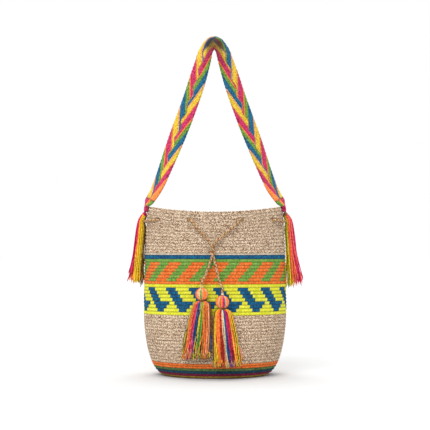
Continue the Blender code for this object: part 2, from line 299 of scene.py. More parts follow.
def front_depth(x, z):
    """Y of the bag's front face at x and z."""
    return -half_depth(z) * sqrt(1 - (x / half_width(z)) ** 2)


print("mouth", 2 * half_width(MOUTH_HEIGHT), "wide")

# %% [markdown]
# ## Drawstring
# The cord is a thin round braid of leftover colours, 4.4 mm across. It runs from the left
# tassel through a turn with its other end, in and out of the eight eyelets round the bag, and
# back to the right tassel. It comes first because its route decides how the rest fits.

# %% Drawstring route
CORD_RADIUS, CORD_CLEARANCE = 0.0022, 0.0006
EYELET_HEIGHT = 0.269
EYELET_TURNS = (22, 55, 125, 158, 202, 235, 305, 338)  # degrees round from the front's middle
EYELET_BEND = (  # how far along the cloth, and what share through it
    (-0.0079, 0.0), (-0.0034, 0.13), (0.0, 0.5), (0.0034, 0.87), (0.0079, 1.0),
)
SPAN_SLACK, SPAN_SAG = 0.0005, 0.0012
INNER_SPAN, OUTER_SPAN = (0.5,), (0.23, 0.41, 0.59, 0.77)  # where the cord between two eyelets follows the cloth
LAST_TURN, LAST_HEIGHT = 17, 0.2615  # each end's point before its first eyelet, in degrees from the front's middle
TWIST_PLACE, TWIST_LENGTH, TWIST_RADIUS = (-0.004, 0.2145), 0.027, 0.00255
NUB_RADIUS, BALL_DROP, SKIRT_DEPTH, SKIRT_GAP = 0.0026, 0.0020, 0.0082, 0.0016
TASSELS = {  # hanging point x and z, ball, shoulder and end half widths, end shift and height
    "left": dict(x=-0.0222, z=0.1556, ball=0.0105, shoulder=0.0128, end=0.0262, shift=-0.0110, foot=0.035),
    "right": dict(x=0.0123, z=0.1430, ball=0.0110, shoulder=0.0132, end=0.0255, shift=0.0085, foot=0.022),
}
SIDES = {"left": -1, "right": 1}


def smooth_route(points, steps):
    """Reads a centripetal Catmull-Rom curve through the points, steps times in each stretch."""
    ends = [points[0] * 2 - points[1], *points, points[-1] * 2 - points[-2]]
    result = []
    for before, start, end, after in zip(ends, ends[1:], ends[2:], ends[3:]):
        knots = [0.0]
        for one, two in ((before, start), (start, end), (end, after)):
            knots.append(knots[-1] + sqrt((two - one).length))
        tangents = []
        threes = ((before, start, end), knots[:3]), ((start, end, after), knots[1:])
        for (p0, p1, p2), (t0, t1, t2) in threes:
            tangents.append((p1 - p0) / (t1 - t0) - (p2 - p0) / (t2 - t0) + (p2 - p1) / (t2 - t1))
        span = knots[2] - knots[1]
        for step in range(steps):
            t = step / steps
            result.append(
                start * (2 * t**3 - 3 * t**2 + 1)
                + tangents[0] * span * (t**3 - 2 * t**2 + t)
                + end * (3 * t**2 - 2 * t**3)
                + tangents[1] * span * (t**3 - t**2)
            )
    return result + [points[-1]]


def hanging_y(spec):
    """Y of a tassel's hanging point, clear of the bag behind its ball."""
    return front_depth(spec["x"], spec["z"] - BALL_DROP - spec["ball"]) - SKIRT_GAP - spec["ball"]


def twist_points(first_angle):
    """One end's full turn round the other, listed downwards."""
    x, z = TWIST_PLACE
    axis_y = front_depth(x, z) - CORD_CLEARANCE - CORD_RADIUS - TWIST_RADIUS
    points = []
    for step in range(9):
        angle = first_angle + 2 * pi * step / 8
        height = z + TWIST_LENGTH * (0.5 - step / 8)
        points.append(Vector((x + TWIST_RADIUS * np.cos(angle), axis_y + TWIST_RADIUS * sin(angle), height)))
    return points


def hanging_end(side):
    """The cord from its tassel up to the eyelet nearest the front's middle."""
    spec, sign = TASSELS[side], SIDES[side]
    foot = Vector((spec["x"], hanging_y(spec), spec["z"] + NUB_RADIUS + 0.0003))
    turn = twist_points(pi if side == "left" else 0.0)
    outside = -(CORD_CLEARANCE + CORD_RADIUS)
    low, high = turn[-1], turn[0]
    end = wall_point(radians(-90 + sign * LAST_TURN), LAST_HEIGHT, SPAN_SLACK * 2.5 - outside)
    straight = foot + Vector((0, 0.0002, 0.006))
    up = [foot, straight, (foot * 2 + low) / 3 + Vector((0, 0.001, 0)), (foot + low * 2) / 3]
    x, z = (high.x + end.x) / 2, (high.z + end.z) / 2
    return [*up, *reversed(turn), Vector((x, front_depth(x, z) + outside - 0.0006, z)), end]


def eyelet_points(angle, inward):
    """The cord's bend through one eyelet, from one face of the cloth to the other."""
    outside = CORD_RADIUS + CORD_CLEARANCE
    inside = -(WALL + outside)
    wide, deep = half_width(EYELET_HEIGHT), half_depth(EYELET_HEIGHT)
    speed = sqrt((wide * sin(angle)) ** 2 + (deep * np.cos(angle)) ** 2)
    points = []
    for along, through in EYELET_BEND:
        share = through if inward > 0 else 1 - through
        points.append(wall_point(angle - along / speed, EYELET_HEIGHT, outside + (inside - outside) * share))
    return points


def drawstring_route():
    """The whole cord: left tassel, round the bag through its eyelets, right tassel."""
    route = hanging_end("left")
    stops = [(radians(-90 - turn), 1 if number % 2 == 0 else -1) for number, turn in enumerate(EYELET_TURNS)]
    for number, (angle, inward) in enumerate(stops):
        points = eyelet_points(angle, inward)
        if number == 0:
            points = points[1:]
        if number == len(stops) - 1:
            points = points[:-1]
        route += points
        if number < len(stops) - 1:
            gap = stops[number + 1][0] - angle
            reach = CORD_RADIUS + CORD_CLEARANCE
            offset = -(WALL + reach) if inward > 0 else reach + SPAN_SLACK
            for share in INNER_SPAN if inward > 0 else OUTER_SPAN:
                route.append(wall_point(angle + gap * share, EYELET_HEIGHT - SPAN_SAG, offset))
    return route + hanging_end("right")[::-1]


def even_steps(points, step):
    """The same line with points at even distances along it."""
    points = np.array([tuple(p) for p in points])
    lengths = np.concatenate(([0], np.cumsum(np.linalg.norm(np.diff(points, axis=0), axis=1))))
    stations = np.linspace(0, lengths[-1], max(int(round(lengths[-1] / step)), 2) + 1)
    return np.stack([np.interp(stations, lengths, points[:, axis]) for axis in range(3)], 1), lengths[-1]


cord_line, cord_length = even_steps(smooth_route(drawstring_route(), 6), 1.15 * MM)
print("drawstring length", round(float(cord_length), 4))

# %% Drawstring braid
CORD_STRANDS = 12  # crossings seen round the cord
CORD_DYES = (
    "cream", "olive", "brown", "cream", "peach", "brown",
    "cream", "brown", "olive", "cream", "peach", "brown",
)
UNDER_RADIUS, UNDER_SHADE = 0.84, 0.75  # where one yarn dives under another: how far it sinks, and how much painted shade it takes


def carried_frames(line):
    """Two directions across a line that turn with it and never spin."""
    along = unit(np.gradient(line, axis=0))
    side = unit(np.cross(along[0], (0.0, 1.0, 0.0)))
    sides = []
    for direction in along:
        side = unit(side - direction * np.dot(side, direction))
        sides.append(side)
    sides = np.array(sides)
    return sides, np.cross(sides, along)


def make_drawstring():
    """A mesh tube whose small diagonal faces are the yarns of a round braid."""
    side, up = carried_frames(cord_line)
    turn = 2 * pi * np.arange(CORD_STRANDS) / CORD_STRANDS
    rows, columns = len(cord_line), CORD_STRANDS
    row, column = np.mgrid[0:rows, 0:columns]
    on_top = (row + column) % 2 == 0
    raised = np.where(on_top, 1.0, UNDER_RADIUS)
    ring = side[:, None] * np.cos(turn)[:, None] + up[:, None] * np.sin(turn)[:, None]
    points = cord_line[:, None] + ring * (CORD_RADIUS * raised)[..., None]
    index = np.arange(rows * columns).reshape(rows, columns)
    following = np.roll(index, -1, axis=1)
    quads = np.stack((index[:-1], index[1:], following[1:], following[:-1]), -1).reshape(-1, 4).tolist()
    rising, falling = (row + column)[:-1] // 2, (row - column)[:-1] // 2
    over = (row[:-1] // 2 + column[:-1] // 2) % 2
    dye = np.where(over == 0, rising, falling + 5) % len(CORD_DYES)
    names = sorted(set(CORD_DYES))
    kinds = np.array([names.index(n) for n in CORD_DYES])[dye].ravel().tolist()
    faces = quads + [index[0].tolist(), index[-1, ::-1].tolist()]
    # the yarns that dive under others get painted shade
    return new_piece(
        "drawstring_braid", points.reshape(-1, 3), faces, kinds + [0, 0], [cottons[n] for n in names],
        hollow=np.where(on_top, 0.0, UNDER_SHADE),
    )


drawstring = make_drawstring()
hand_over(drawstring, "bag", "drawstring")

# %% [markdown]
# ## Crochet
# Single crochet worked in the round shows a small V for each stitch, with its two legs spreading
# upwards, and a dark crease under each row. The stitches drift a little to one side as the rows
# climb. A round of this bag has 135 stitches, 15 repeats of a nine-stitch motif, and a stitch is
# about 5 mm wide and 5.5 mm high. Each is a small patch of one big grid that is pulled into that
# relief, so its colour can be given stitch by stitch as the crocheter does.

# %% Rows and pattern
STITCHES, REPEAT = 135, 9
LEAN = 0.10  # stitches of drift to each row
ROWS = (  # what the rows of a band show, how many there are, and the height of their top
    ("ochre", 2, 0.0040),
    ("purple", 1, 0.0082),
    ("teal", 1, 0.0132),
    ("moss", 1, 0.0178),
    ("orange", 2, 0.0258),
    ("tan", 15, 0.1070),
    ("yellow", 1, 0.1126),
    ("leaping motif", 7, 0.1537),
    ("yellow", 1, 0.1593),
    ("orange", 1, 0.1643),
    ("slanting bars", 6, 0.1969),
    ("green", 1, 0.2023),
    ("blue", 1, 0.2094),
    ("ivory", 1, 0.2124),
    ("tan", 13, MOUTH_HEIGHT),
)
MOTIF_WIDTHS = (3, 5, 7, 4, 4, 4, 4)  # blue stitches in each row of the motif, upwards
BAR_WIDTH = 4

edges, plan = [0.0], []
for band, count, top in ROWS:
    bottom = edges[-1]
    for number in range(count):
        share = ((number + 1) / count) ** (2.0 if bottom == 0 else 1.0)  # the first rows curl up from the base
        edges.append(bottom + (top - bottom) * share)
        plan.append((band, number, count))
edges = np.array(edges)
MOTIF_TOP = max(row for row, (band, _, _) in enumerate(plan) if band == "leaping motif")


def dye_of(row, column):
    """The colour of one stitch."""
    band, number, count = plan[row]
    if band == "leaping motif":
        start = count - 1 - number
        return "blue" if (column - start) % REPEAT < MOTIF_WIDTHS[number] else "yellow"
    if band == "slanting bars":
        return "green" if (column - number) % REPEAT < BAR_WIDTH else "orange"
    return band


print("rows", len(plan), "stitches", len(plan) * STITCHES)

# %% Stitch relief
ACROSS = np.array((0.0, 0.22, 0.42, 0.58, 0.78))  # where each stitch is sampled
UP = np.array((0.0, 0.25, 0.5, 0.75))
RELIEF = 1.25 * MM
MOTIF_START = -0.74  # stitches from the front's middle to the motif's first stitch
LEG_FOOT, LEG_SPREAD, LEG_WIDTH = 0.13, 0.22, 0.17  # shares of a stitch's width
LEG_RISE, ROW_RISE = 0.70, 0.88  # shares of the relief that a leg and a row make
UNEVEN, TIGHTEST, LOOSEST = 0.10, 0.75, 1.25  # how the stitches differ in strength


def stitch_relief(across, up):
    """How far a point of a stitch stands out, 0 to 1: two legs that spread upwards."""
    leg = LEG_FOOT + LEG_SPREAD * up
    legs = np.exp(-(((np.abs(across - 0.5) - leg) / LEG_WIDTH) ** 2))
    return (1 - LEG_RISE + LEG_RISE * legs) * (1 - ROW_RISE + ROW_RISE * np.sin(pi * up) ** 0.7)


def wall_grid():
    """Angles and heights of the whole wall's grid, its relief, and where the eyelets are cut."""
    rows = len(plan) * len(UP)
    row = np.concatenate((np.add.outer(np.arange(len(plan)), UP).ravel(), [len(plan)]))
    column = np.add.outer(np.arange(STITCHES), ACROSS).ravel()
    height = np.interp(row, np.arange(len(edges)), edges)
    table = np.linspace(-pi / 2, 1.5 * pi, 1441)
    angle = np.empty((rows + 1, len(column)))
    for number, (r, h) in enumerate(zip(row, height)):
        wide, deep = half_width(h), half_depth(h)
        speed = np.hypot(wide * np.sin(table), deep * np.cos(table))
        length = np.concatenate(([0], np.cumsum((speed[1:] + speed[:-1]) / 2)))
        share = (column + MOTIF_START + LEAN * (r - MOTIF_TOP)) / STITCHES
        angle[number] = np.interp(share % 1.0, length / length[-1], table)
    heights = np.repeat(height[:, None], len(column), axis=1)
    loose = chance.normal(1.0, UNEVEN, (len(plan) + 1, STITCHES)).clip(TIGHTEST, LOOSEST)
    stitch_row = np.minimum(np.arange(rows + 1) // len(UP), len(plan))
    strength = loose[stitch_row][:, np.arange(len(column)) // len(ACROSS)]
    raised = stitch_relief((column % 1.0)[None], (row % 1.0)[:, None]) * strength
    return angle, heights, raised


def open_eyelets(angle, height):
    """Pulls the stitches apart round each eyelet, and marks the points that lie in it."""
    radius_along, radius_up, reach = 3.9 * MM, 3.3 * MM, 2.3
    inside = np.zeros(angle.shape, dtype=bool)
    wide, deep = half_width(EYELET_HEIGHT), half_depth(EYELET_HEIGHT)
    for turn in EYELET_TURNS:
        middle = radians(-90 - turn)
        speed = float(np.hypot(wide * np.sin(middle), deep * np.cos(middle)))
        gap = (angle - middle + pi) % (2 * pi) - pi
        rise = height - dip(angle, height) - EYELET_HEIGHT
        away = np.hypot(gap * speed / radius_along, rise / radius_up)
        near = away < reach
        scale = np.where(near, (1 + away * (1 - 1 / reach)) / np.maximum(away, 1e-6), 1.0)
        inside |= away < 0.5
        angle = np.where(near, middle + gap * scale, angle)
        height = np.where(near, height + rise * (scale - 1), height)
    return angle, height, inside


def wall_surface(angle, height):
    """Points of the smooth outer face, and the directions out of it."""
    x, y = half_width(height) * np.cos(angle), half_depth(height) * np.sin(angle)
    points = np.stack((x, y, height - dip(angle, height)), -1)
    upward = np.gradient(points, axis=0)
    round_ = np.roll(points, -1, axis=1) - np.roll(points, 1, axis=1)
    return points, unit(np.cross(round_, upward))


SLACK, INNER_RELIEF = 0.8 * MM, 0.7 * MM


def slack(angle, height):
    """Low waves in the soft cloth, always inwards, that grow towards the mouth."""
    wave = np.sin(3 * angle + 21 * height + 0.7) + np.sin(5 * angle - 34 * height + 2.1)
    return -SLACK * (1 + 0.5 * wave).clip(0) * ease((height - 0.02) / 0.2)


wall_angle, wall_height, wall_raised = wall_grid()
wall_angle, wall_height, in_eyelet = open_eyelets(wall_angle, wall_height)
wall_points, wall_out = wall_surface(wall_angle, wall_height)
wall_slack = slack(wall_angle, wall_height)
outer_skin = wall_points + wall_out * (wall_slack - RELIEF * (1 - wall_raised))[..., None]
inner_skin = wall_points + wall_out * (wall_slack - WALL + INNER_RELIEF * (1 - wall_raised))[..., None]
print("wall grid", outer_skin.shape)

# %% Wall pieces
DYES = sorted(YARNS)
stitch_dyes = np.array([[DYES.index(dye_of(r, c)) for c in range(STITCHES)] for r in range(len(plan))])


LIP_RISE, LIP_ANGLES = 1.9 * MM, (35, 70, 110, 145)  # the last round's loops, turned over the mouth


def cloth_piece(name, points, faces, kinds, hollow):
    """A piece of crochet with only the yarns that it shows."""
    used, kinds = np.unique(np.concatenate([k.ravel() for k in kinds]), return_inverse=True)
    yarns = [cottons[DYES[u]] for u in used]
    return new_piece(name, np.concatenate(points), faces, kinds, yarns, hollow=np.concatenate(hollow))


def joined(grid_index, kinds, flip=False, cut=None):
    """Quads between neighbouring rows of point numbers, closed round, and their materials."""
    following = np.roll(grid_index, -1, axis=1)
    corners = (grid_index[:-1], following[:-1], following[1:], grid_index[1:])
    quads = np.stack(corners[::-1] if flip else corners, -1)
    keep = np.ones(quads.shape[:2], dtype=bool) if cut is None else ~cut
    return quads[keep].tolist(), np.broadcast_to(kinds, quads.shape[:2])[keep]


def eyelet_walls(cut, outer_index, inner_index):
    """Quads from the outer to the inner face along the edge of each hole."""
    faces = []
    sides = {  # which way the neighbour lies: the two corners that a quad shares with it
        (0, 1): ((0, 0), (0, 1)), (0, -1): ((1, 1), (1, 0)), (1, 1): ((1, 0), (0, 0)), (1, -1): ((0, 1), (1, 1)),
    }
    for (axis, shift), corners in sides.items():
        for r, c in zip(*np.nonzero(cut & ~np.roll(cut, shift, axis=axis))):
            one, two = ((r + down, (c + along) % cut.shape[1]) for down, along in corners)
            faces.append([int(outer_index[one]), int(outer_index[two]), int(inner_index[two]), int(inner_index[one])])
    return faces


def make_wall(name, first, last):
    """The rows from first up to last as a closed band of cloth, with its rim if it is the top."""
    low, high = first * len(UP), last * len(UP)
    top = last == len(plan)
    step = 1 if top else 2  # the inside is seen less
    outer, inner = outer_skin[low : high + 1], inner_skin[low : high + 1 : step]
    rows, columns = outer.shape[:2]
    outer_index = np.arange(rows * columns).reshape(rows, columns)
    inner_index = np.arange(inner.shape[0] * columns).reshape(-1, columns) + rows * columns
    row_of = np.arange(low, high) // len(UP)
    column_of = np.arange(columns) // len(ACROSS)
    colours = stitch_dyes[row_of][:, column_of]
    inside = in_eyelet[low : high + 1]
    beside = np.roll(inside, -1, 1)
    cut = inside[:-1] & inside[1:] & beside[:-1] & beside[1:]
    faces, kinds = joined(outer_index, colours, cut=cut)
    inner_cut = cut if step == 1 else np.zeros((inner.shape[0] - 1, columns), dtype=bool)
    more, tones = joined(inner_index, colours[::step], flip=True, cut=inner_cut)
    faces, kinds = faces + more, [kinds, tones]
    raised = wall_raised[low : high + 1]
    points = [outer.reshape(-1, 3), inner.reshape(-1, 3)]
    # painted shade where the stitches and the creases between rows are sunk
    hollow = [(1 - raised).ravel(), (1 - raised[::step]).ravel()]
    strips = [np.stack((inner_index[0], outer_index[0]))]
    if top:
        across = (np.arange(columns) % len(ACROSS)) / len(ACROSS)
        lift = LIP_RISE * (0.7 + 0.3 * np.abs(np.sin(pi * across)))
        middle = (outer[-1] + inner[-1]) / 2
        out = outer[-1] - inner[-1]
        lip = [
            middle + out * 0.75 * np.cos(a) + np.array((0, 0, 1)) * (lift * np.sin(a))[:, None]
            for a in np.radians(LIP_ANGLES)
        ]
        lip_index = np.arange(len(lip) * columns).reshape(-1, columns) + sum(len(p) for p in points)
        points.append(np.concatenate(lip))
        # painted shade between the loops of the last round
        hollow.append(np.tile(0.5 * (1 - np.abs(np.sin(pi * across))), len(lip)))
        strips.append(np.concatenate((outer_index[-1:], lip_index, inner_index[-1:])))
        more = eyelet_walls(cut, outer_index, inner_index)
        faces += more
        kinds.append(np.full(len(more), DYES.index("tan")))
    else:
        strips.append(np.stack((outer_index[-1], inner_index[-1])))
    for strip, row in zip(strips, (first, last - 1)):
        more, tones = joined(strip, stitch_dyes[row][column_of][None])
        faces += more
        kinds.append(tones)
    hand_over(cloth_piece(name, points, faces, kinds, hollow), "bag", "bag_body")


ROW_SPLITS = (0, 14, 28, 41, len(plan))
for name, first, last in zip(("lower_cloth", "motif_cloth", "bar_cloth", "mouth_cloth"), ROW_SPLITS, ROW_SPLITS[1:]):
    make_wall(name, first, last)

# %% [markdown]
# ## Base
# The base is begun with nine stitches and grows by nine in each of its fifteen rounds, which
# keeps a crocheted disc flat. Its rounds are colour rings.

# %% Base rounds
BASE_ROUNDS = STITCHES // REPEAT
BASE_DYES = (
    "magenta", "magenta", "coral", "coral", "gold", "gold", "leaf", "leaf", "sea", "sea",
    "tan", "tan", "tan", "purple", "ochre",
)
BASE_START = 0.012  # the hole in the first round, as a share of the base


def make_base():
    """Both faces of the base, ring by ring, and the strip round its edge."""
    points, faces, kinds, hollow = [], [], [], []
    start, rims = 0, []
    for under, samples in ((True, UP), (False, UP[::2])):
        for number in range(BASE_ROUNDS):
            count = REPEAT * (number + 1)
            column = np.add.outer(np.arange(count), ACROSS).ravel()
            row = np.append(samples, 1.0)
            share = np.maximum((number + row) / BASE_ROUNDS, BASE_START)[:, None]
            turn = 2 * pi * (column[None] + LEAN * row[:, None]) / count - pi / 2
            if number == BASE_ROUNDS - 1:
                turn[-1] = wall_angle[0]
            raised = stitch_relief((column % 1.0)[None], row[:, None] % 1.0)
            low = RELIEF * (1 - raised) if under else WALL - INNER_RELIEF * (1 - raised)
            grid = np.stack((BASE_WIDTH * share * np.cos(turn), BASE_DEPTH * share * np.sin(turn), low), -1)
            index = np.arange(low.size).reshape(low.shape) + start
            more, tones = joined(index, np.array(DYES.index(BASE_DYES[number])), flip=under)
            points.append(grid.reshape(-1, 3))
            # painted shade where the stitches are sunk
            hollow.append((1 - raised).ravel())
            faces += more
            kinds.append(tones)
            if number == 0:
                faces.append((index[0, ::-1] if under else index[0]).tolist())
                kinds.append(np.array([DYES.index(BASE_DYES[0])]))
            start += index.size
        rims.append(index[-1])
    more, tones = joined(np.stack(rims), np.array(DYES.index(BASE_DYES[-1])))
    return cloth_piece("base_cloth", points, faces + more, [*kinds, tones], hollow)


hand_over(make_base(), "bag", "bag_body")

# %% [markdown]
# ## Strap
# The strap is finger-braided flat from bundles of yarn. Each bundle runs slantwise to the middle
# and dives under the ones that come from the other side, so both faces show long Vs that point
# to the strap's ends. A repeat takes 18 yarns on each side, and the two sides are out of step,
# so magenta meets blue, and yellow meets green. The mesh keeps each point's place in that order
# as a value, braid, and the material turns the value into the yarn's colour.

# %% Strap yarns
STRAP_ORDER = (("magenta", 4), ("orange", 1), ("leaf", 3), ("sea", 4), ("peach", 1), ("gold", 4), ("coral", 1))
ORDER_YARNS = sum(count for _, count in STRAP_ORDER)
ORDER_LENGTH = 110 * MM  # along the strap
STRAP_FLECK, STRAP_SHADE = 2.5 * MM, 0.9


def braid_material():
    """Braided cotton whose colour follows the order of the yarns."""
    material = bpy.data.materials.new("finger_braided_cotton")
    material.use_nodes = True
    tree = material.node_tree
    place = add_node(tree, "ShaderNodeTexCoord").outputs["Object"]
    order = add_node(tree, "ShaderNodeAttribute", attribute_name="braid")
    repeat = add_node(tree, "ShaderNodeMath", {1: 1 / ORDER_YARNS}, {0: order.outputs["Fac"]}, operation="MULTIPLY")
    within = add_node(tree, "ShaderNodeMath", links={0: repeat.outputs[0]}, operation="FRACT")
    ramps = []
    for tone in (0, 2):
        ramp = add_node(tree, "ShaderNodeValToRGB", links={"Fac": within.outputs[0]})
        ramp.color_ramp.interpolation = "CONSTANT"
        stops, start = [], 0
        for dye, count in STRAP_ORDER:
            stops.append((start / ORDER_YARNS, YARNS[dye][tone]))
            start += count
        fill_ramp(ramp.color_ramp, stops)
        ramps.append(ramp)
    noise = add_node(tree, "ShaderNodeTexNoise", {"Scale": 1 / STRAP_FLECK, "Detail": 1.5}, {"Vector": place})
    tone = add_node(tree, "ShaderNodeMapRange", {"From Min": 0.35, "From Max": 0.65}, {"Value": noise.outputs["Fac"]})
    mixed = add_node(
        tree, "ShaderNodeMix", None,
        {0: tone.outputs[0], 6: ramps[0].outputs["Color"], 7: ramps[1].outputs["Color"]}, data_type="RGBA",
    )
    finish_cotton(tree, mixed.outputs[2], STRAP_SHADE)
    return material


# %% Strap shape
STRAP_WIDTH, STRAP_END_WIDTH, STRAP_THICKNESS = 0.046, 0.034, 0.0048
STRAP_SIDE = 0.1209  # from the middle to the strap's ends
STRAP_SAMPLES = 33  # across one face
STRAP_ROUTE = (
    (-STRAP_SIDE, 0.2845), (-STRAP_SIDE, 0.2920), (-0.1160, 0.3015), (-0.1025, 0.3240),
    (-0.0690, 0.4080), (-0.0385, 0.4905), (-0.0215, 0.5465), (-0.0155, 0.5670),
    (-0.0020, 0.5812),
    (0.0118, 0.5690), (0.0192, 0.5475), (0.0372, 0.4905), (0.0676, 0.4080),
    (0.1010, 0.3240), (0.1155, 0.3015), (STRAP_SIDE, 0.2920), (STRAP_SIDE, 0.2845),
)
TURN_END, TURN_LOW, TURN_FULL, TURN_TOP = (radians(value) for value in (6, 26, 43, 30))
V_SLOPE = 2.1  # how far a yarn runs along the strap for each step across it
GATHER, LAST = 0.024, 0.011  # the ends where the yarns run straight to the knot, and where one colour covers them
GATHERED = (-1, -0.1, 0.5, 1), (0.3, 4.0, 5.0, 7.7)  # places across a gathered end, and the yarns that lie there
STAGGER, STAGGER_LENGTH = 0.15, 0.29 * ORDER_LENGTH  # how far the bundles of each edge reach past the middle
KNOT_CROWN, FOLD_CROWN = 1.25, 0.9  # how much thicker the strap is at its knots and on the outside of its fold
EDGE_ORDER = {  # the yarn order along each edge: shift and repeat length in metres, and where it stops changing
    (-1, "inner"): (-0.0035, 0.112, 0.256), (-1, "outer"): (0.098, 0.131, 1.0),
    (1, "inner"): (-0.012, 0.112, 0.264), (1, "outer"): (0.061, 0.121, 1.0),
}


def order_along(from_top, from_end, arm, across, half, lean):
    """Which yarn of the repeat lies at each point of the strap."""
    order = np.empty(lean.shape)
    for sign in (-1, 1):
        for edge, chosen, from_edge in (("inner", lean >= 0, 1 - across), ("outer", lean < 0, 1 + across)):
            shift, repeat, limit = EDGE_ORDER[(sign, edge)]
            distance = from_top[:, None] - from_edge[None] * half[:, None] * V_SLOPE
            chosen = chosen & (arm == sign)[:, None]
            order[chosen] = ((np.minimum(distance, limit) + shift) / repeat * ORDER_YARNS)[chosen]
    order = np.where(from_end[:, None] < GATHER, np.interp(across, *GATHERED)[None], order)
    return np.where(from_end[:, None] < LAST, 2 + 1.8 * across[None], order)


def make_strap():
    """The whole strap: its ribs, its bundles, and the order of its yarns at each point."""
    line, length = even_steps(smooth_route([Vector((x, 0, z)) for x, z in STRAP_ROUTE], 16), 1.3 * MM)
    station = np.linspace(0, length, len(line))
    along = unit(np.gradient(line, axis=0))
    inward = np.stack((along[:, 2], 0 * along[:, 0], -along[:, 0]), -1)
    from_end = np.minimum(station, length - station)
    from_top = np.abs(length / 2 - station)
    # it leaves each knot edge on, opens towards the front along its side, and turns back a little at the top
    turn = TURN_END + (TURN_LOW - TURN_END) * ease((from_end - 0.007) / 0.014)
    turn = turn + (TURN_FULL - TURN_LOW) * ease((from_end - 0.020) / 0.150)
    turn = TURN_TOP + (turn - TURN_TOP) * ease((from_top + 0.015) / 0.100)
    sideways = inward * np.sin(turn)[:, None] + np.array((0, -1, 0)) * np.cos(turn)[:, None]
    face = unit(np.cross(along, sideways))
    half = (STRAP_END_WIDTH + (STRAP_WIDTH - STRAP_END_WIDTH) * ease(from_end / 0.060)) / 2
    # out along one face and back along the other, where +1 is the edge on the inside of the loop
    there = np.linspace(-1, 1, STRAP_SAMPLES)
    across = np.concatenate((there, there[-2:0:-1]))
    which = np.concatenate((np.ones(STRAP_SAMPLES), -np.ones(STRAP_SAMPLES - 2)))
    which[[0, STRAP_SAMPLES - 1]] = 0
    arm = np.where(station < length / 2, -1, 1)
    lean = across[None] - STAGGER * np.sin(2 * pi * from_top / STAGGER_LENGTH)[:, None]
    order = order_along(from_top, from_end, arm, across, half, lean)
    rib = np.abs(np.sin(pi * order))
    bounds = np.cumsum([0] + [count for _, count in STRAP_ORDER])
    within = order % ORDER_YARNS
    bundle = np.searchsorted(bounds, within, side="right") - 1
    bulge = np.sin(pi * (within - bounds[bundle]) / (bounds[bundle + 1] - bounds[bundle])).clip(0) ** 0.6
    crown = np.sqrt(np.maximum(1 - (0.93 * np.abs(across)) ** 4, 0))[None]
    bundled = ease(1 - from_end / GATHER)[:, None]
    crown = crown + (KNOT_CROWN - crown) * bundled * (1 - 0.25 * across[None] ** 2)
    folded = ease(1 - from_top / 0.020)[:, None]
    crown = crown + FOLD_CROWN * folded * (which[None] < 0)
    crease = np.exp(-((lean * half[:, None] / (1.3 * MM)) ** 2))
    lift = STRAP_THICKNESS / 2 * crown * (0.62 + 0.24 * bulge + 0.26 * rib ** 0.7 - 0.2 * crease)
    spread = half[:, None] * across[None] * (1 - 0.03 * (1 - rib) * (np.abs(across)[None] > 0.9))
    points = line[:, None] + sideways[:, None] * spread[..., None] + face[:, None] * (lift * which[None])[..., None]
    index = np.arange(points[..., 0].size).reshape(points.shape[:2])
    faces, _ = joined(index, np.array(0))
    faces += [index[0, ::-1].tolist(), index[-1].tolist()]
    # painted shade in the valleys between ribs and bundles, along the creases and at the rounded edges
    hollow = (1 - rib) ** 1.5 * 0.42 + 0.42 * (1 - bulge) ** 2 + 0.25 * crease + 0.15 * (np.abs(across)[None] > 0.9)
    # the cupped fold shades itself, and so do the inner edge next to it and the start of each gathered end
    hollow += 1.5 * ease(1 - from_top / 0.030)[:, None] * (which[None] < 0) * np.exp(-((across[None] / 0.5) ** 2))
    hollow += 0.55 * np.exp(-((from_top / 0.040) ** 2))[:, None] * ease(across[None] * 2)
    hollow += 0.5 * np.exp(-(((from_end[:, None] - GATHER) / (1.5 * MM)) ** 2))
    piece = new_piece(
        "strap_braid", points.reshape(-1, 3), faces, np.zeros(len(faces)), [braid_material()],
        hollow=hollow.clip(0, 1), braid=order,
    )
    hand_over(piece, "bag", "strap")
    print("strap length", round(float(length), 3))


make_strap()

# %% [markdown]
# ## Knots and fringes
# At each side fold the strap's yarns go through the cloth and are tied, and their ends hang down
# the side as a loose fringe. A knot is yarn wound on itself, and a fringe is some seventy yarns
# that start together under the knot, bow outwards and end at uneven lengths.

# %% Side knots
KNOT_CENTRE, KNOT_SIZE = (0.1233, 0.0, 0.2794), (0.0046, 0.0084, 0.0050)
KNOT_DYES = {"left": ("magenta", "magenta"), "right": ("leaf", "magenta")}
KNOT_TURNS, KNOT_YARN = 7, 1.15 * MM


def wound(centre, size, turns, tilt, radius):
    """A yarn wound over an ellipsoid."""
    t = np.linspace(0, 1, 22 * turns)
    polar = pi * (0.06 + 0.88 * t)
    around = 2 * pi * turns * t + tilt
    shape = np.array(size) - radius
    ball = np.stack((np.sin(polar) * np.cos(around), np.cos(polar), np.sin(polar) * np.sin(around)), -1)
    return np.array(centre) + ball * shape, np.full(len(t), radius)


for side, sign in SIDES.items():
    centre = (KNOT_CENTRE[0] * sign, KNOT_CENTRE[1], KNOT_CENTRE[2])
    bundles = []
    for number, dye in enumerate(KNOT_DYES[side]):
        path, radii = wound(centre, KNOT_SIZE, KNOT_TURNS, pi * number, KNOT_YARN)
        bundles.append((path[None], radii[None], np.array((0.0, 1.0, 0.01)), (dye,)))
    yarn_piece(f"side_knot_{side}", bundles, "bag", f"strap_knot_{side}")

